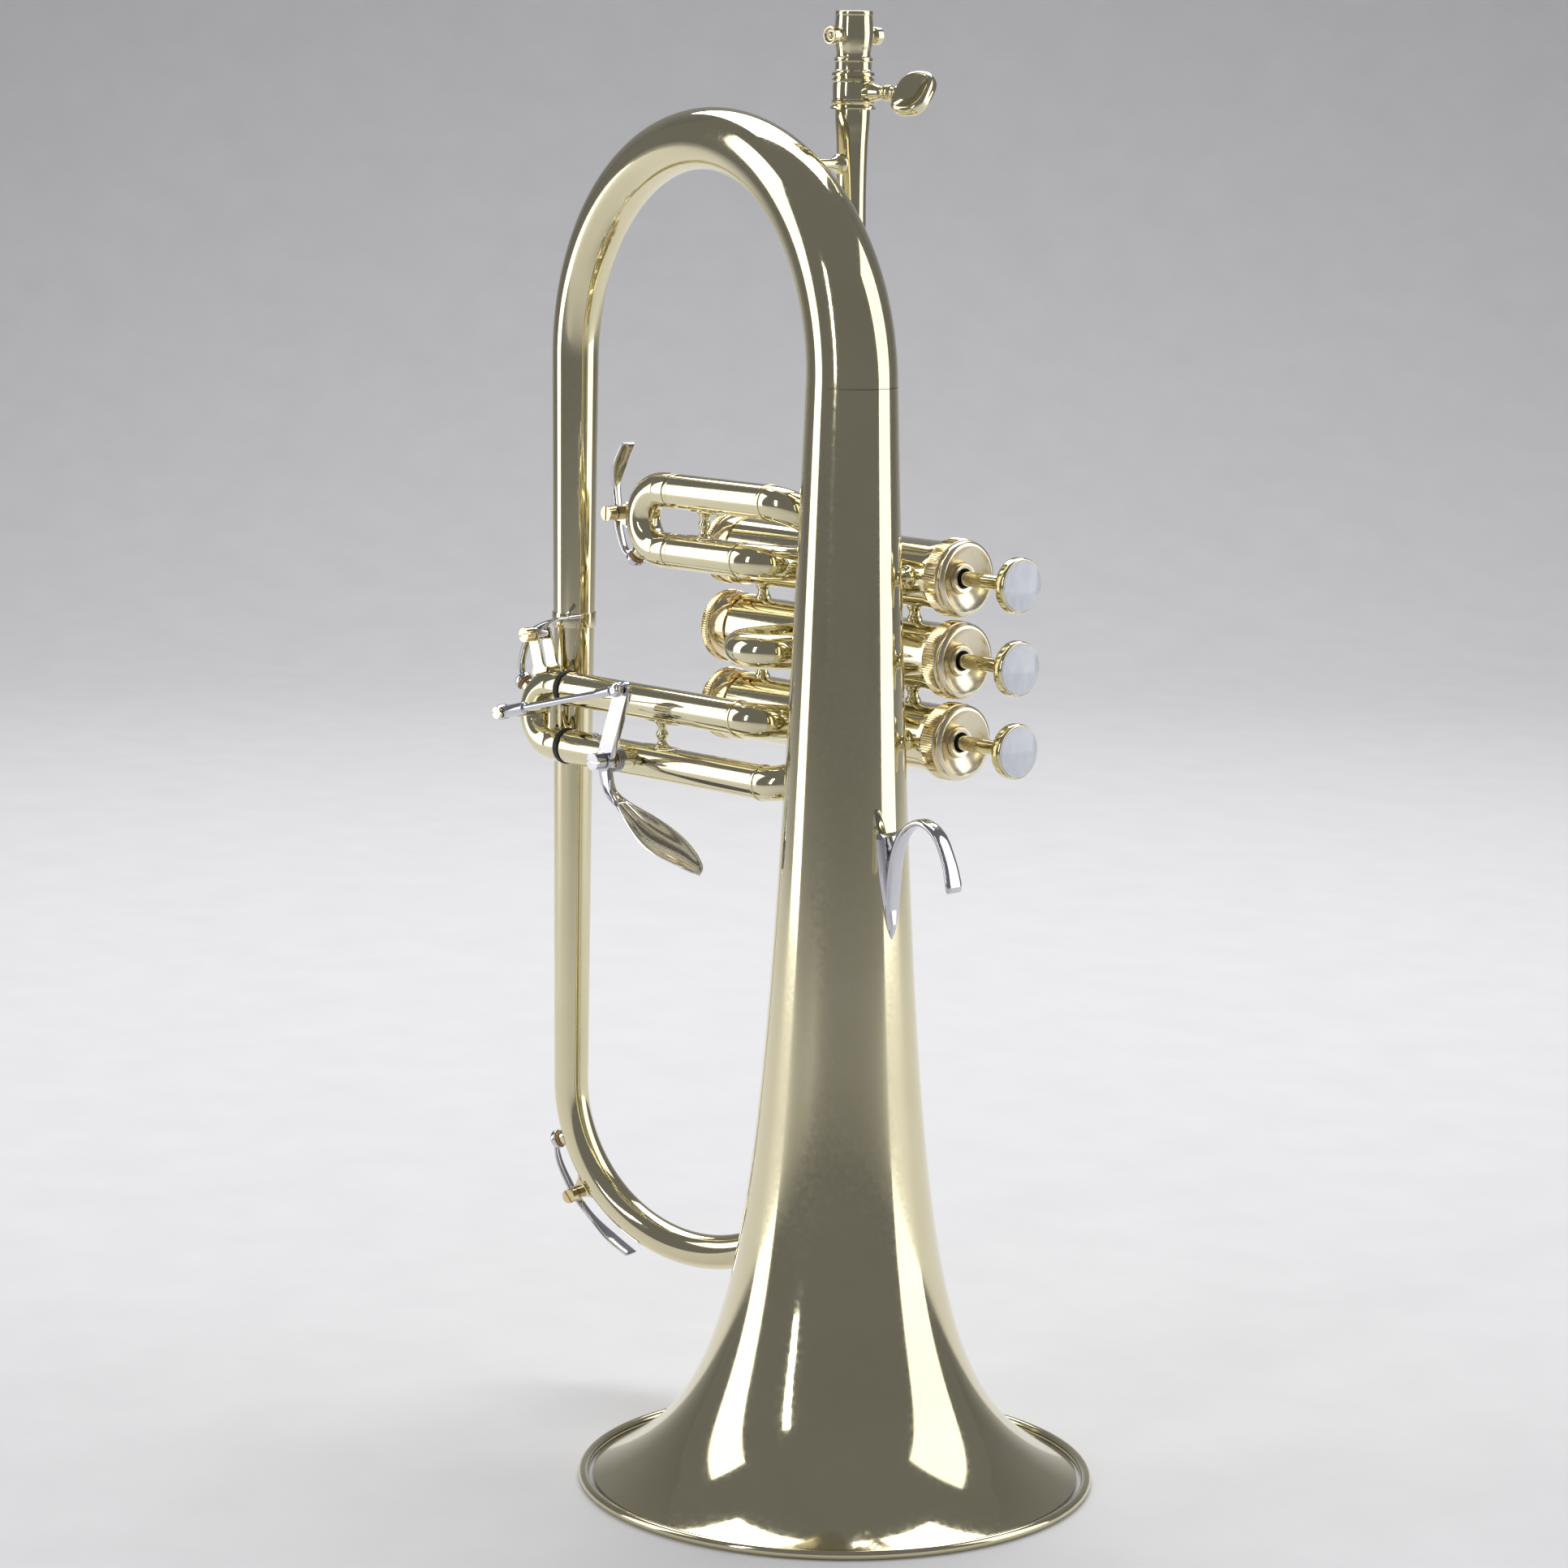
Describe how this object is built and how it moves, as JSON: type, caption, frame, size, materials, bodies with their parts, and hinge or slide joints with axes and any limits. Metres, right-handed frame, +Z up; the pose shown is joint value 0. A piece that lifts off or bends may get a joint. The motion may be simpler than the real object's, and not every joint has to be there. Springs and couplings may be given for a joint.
{
  "type": "flugelhorn",
  "caption": "Upright-standing valved brass horn with a wide conical bell, three horizontal piston valves, sliding tuning crooks, a slide trigger and water keys.",
  "frame": {"origin": "bell axis at the plane of the bell's rim, which the instrument stands on", "axes": "+Z up along the bell's axis from the mouth to the large bow; +X towards the finger buttons; +Y towards the valve side, away from the first and third slides"},
  "size_m": [0.2238, 0.152, 0.429],
  "materials": {
    "lacquered_brass": "polished under clear lacquer",
    "nickel_plate": "polished nickel plate",
    "nickel_silver": "honed bare nickel silver",
    "piston_nickel": "honed",
    "spring_steel": "drawn wire",
    "pearl": "glossy mother of pearl",
    "rubber": "matte",
    "felt": "felt",
    "cork": "matte cork"
  },
  "bodies": {
    "instrument": {"bell": "lacquered_brass", "bell_rim_bead": "lacquered_brass", "bell_bow": "lacquered_brass", "tail_ferrule": "lacquered_brass", "bottom_bow": "lacquered_brass", "casing_links": "lacquered_brass", "top_caps": "lacquered_brass", "bottom_caps": "lacquered_brass", "stem_felts": "felt", "valve_springs": "spring_steel", "valve_casing_1": "lacquered_brass", "valve_casing_2": "lacquered_brass", "valve_casing_3": "lacquered_brass", "first_slide_sleeves": "lacquered_brass", "second_slide_sleeves": "lacquered_brass", "third_slide_sleeves": "lacquered_brass", "leadpipe": "lacquered_brass", "leadpipe_clamp": "lacquered_brass", "tube_braces": "lacquered_brass", "pinky_hook": "nickel_plate", "bow_key_saddle": "lacquered_brass", "bow_key_screw": "lacquered_brass", "trigger_post": "lacquered_brass", "trigger_screw": "nickel_plate", "trigger_spring": "spring_steel"},
    "piston_assembly_1": {"piston_1": "piston_nickel", "valve_stem_1": "lacquered_brass", "finger_button_1": "lacquered_brass", "button_pearl_1": "pearl"},
    "piston_assembly_2": {"piston_2": "piston_nickel", "valve_stem_2": "lacquered_brass", "finger_button_2": "lacquered_brass", "button_pearl_2": "pearl"},
    "piston_assembly_3": {"piston_3": "piston_nickel", "valve_stem_3": "lacquered_brass", "finger_button_3": "lacquered_brass", "button_pearl_3": "pearl"},
    "first_slide": {"first_slide_crook": "lacquered_brass", "first_slide_legs": "nickel_silver", "first_key_saddle": "lacquered_brass", "first_key_screw": "lacquered_brass"},
    "second_slide": {"second_slide_crook": "lacquered_brass", "second_slide_legs": "nickel_silver"},
    "third_slide": {"third_slide_crook": "lacquered_brass", "third_slide_legs": "nickel_silver", "third_slide_o_rings": "rubber", "third_key_saddle": "lacquered_brass", "third_key_screw": "lacquered_brass", "trigger_bracket": "lacquered_brass"},
    "first_key": {"first_key_lever": "nickel_plate", "first_key_cork": "cork"},
    "third_key": {"third_key_lever": "nickel_plate", "third_key_cork": "cork"},
    "bow_key": {"bow_key_lever": "nickel_plate", "bow_key_cork": "cork"},
    "receiver": {"mouthpiece_receiver": "lacquered_brass", "pull_knobs": "lacquered_brass"},
    "clamp_thumb_screw": {"clamp_screw": "lacquered_brass"},
    "trigger": {"trigger_lever": "nickel_plate"},
    "trigger_link": {"trigger_rod": "nickel_plate"}
  },
  "joints": [
    {"name": "valve_1", "type": "slide", "parent": "instrument", "child": "piston_assembly_1", "axis": [-1, 0, 0], "range_m": [0, 0.015], "stiffness_N_per_m": 120, "springref_m": -0.016, "deforming": ["valve_springs"]},
    {"name": "valve_2", "type": "slide", "parent": "instrument", "child": "piston_assembly_2", "axis": [-1, 0, 0], "range_m": [0, 0.015], "stiffness_N_per_m": 120, "springref_m": -0.016, "deforming": ["valve_springs"]},
    {"name": "valve_3", "type": "slide", "parent": "instrument", "child": "piston_assembly_3", "axis": [-1, 0, 0], "range_m": [0, 0.015], "stiffness_N_per_m": 120, "springref_m": -0.016, "deforming": ["valve_springs"]},
    {"name": "first_slide_pull", "type": "slide", "parent": "instrument", "child": "first_slide", "axis": [-1, 0, 0], "range_m": [0, 0.025]},
    {"name": "second_slide_pull", "type": "slide", "parent": "instrument", "child": "second_slide", "axis": [0, -1, 0], "range_m": [0, 0.006]},
    {"name": "third_slide_pull", "type": "slide", "parent": "instrument", "child": "third_slide", "axis": [-1, 0, 0], "range_m": [0, 0.01219]},
    {"name": "trigger_hinge", "type": "hinge", "parent": "instrument", "child": "trigger", "pos_m": [-0.089, -0.0151, 0.2053], "axis": [0, -1, 0], "range_deg": [0, 30], "stiffness_Nm_per_rad": 0.02, "springref_deg": -20.05},
    {"name": "trigger_rod_hinge", "type": "hinge", "parent": "third_slide", "child": "trigger_link", "pos_m": [-0.1335, -0.0182, 0.215], "axis": [0, -1, 0], "range_deg": [0, 1.45]},
    {"name": "receiver_pull", "type": "slide", "parent": "instrument", "child": "receiver", "axis": [0, 0, 1], "range_m": [0, 0.01]},
    {"name": "clamp_screw_turn", "type": "hinge", "parent": "instrument", "child": "clamp_thumb_screw", "pos_m": [-0.02169, 0.04128, 0.4053], "axis": [0.9903, 0.1392, 0], "range_deg": [-180, 180]},
    {"name": "first_key_hinge", "type": "hinge", "parent": "first_slide", "child": "first_key", "pos_m": [-0.09869, -0.0005, 0.27865], "axis": [0, 1, 0], "range_deg": [0, 14], "stiffness_Nm_per_rad": 0.02, "springref_deg": -17.19},
    {"name": "third_key_hinge", "type": "hinge", "parent": "third_slide", "child": "third_key", "pos_m": [-0.13722, -0.0005, 0.23762], "axis": [0, 1, 0], "range_deg": [0, 14], "stiffness_Nm_per_rad": 0.02, "springref_deg": -17.19},
    {"name": "bow_key_hinge", "type": "hinge", "parent": "instrument", "child": "bow_key", "pos_m": [-0.1326, 0.01334, 0.05763], "axis": [0.2662, -0.9639, 0], "range_deg": [0, 10], "stiffness_Nm_per_rad": 0.02, "springref_deg": -17.19}
  ],
  "couplings": [
    {"joint": "trigger_hinge", "follows": "third_slide_pull", "rad_per_m": 42.949},
    {"joint": "trigger_rod_hinge", "follows": "third_slide_pull", "rad_per_m": 2.074}
  ]
}
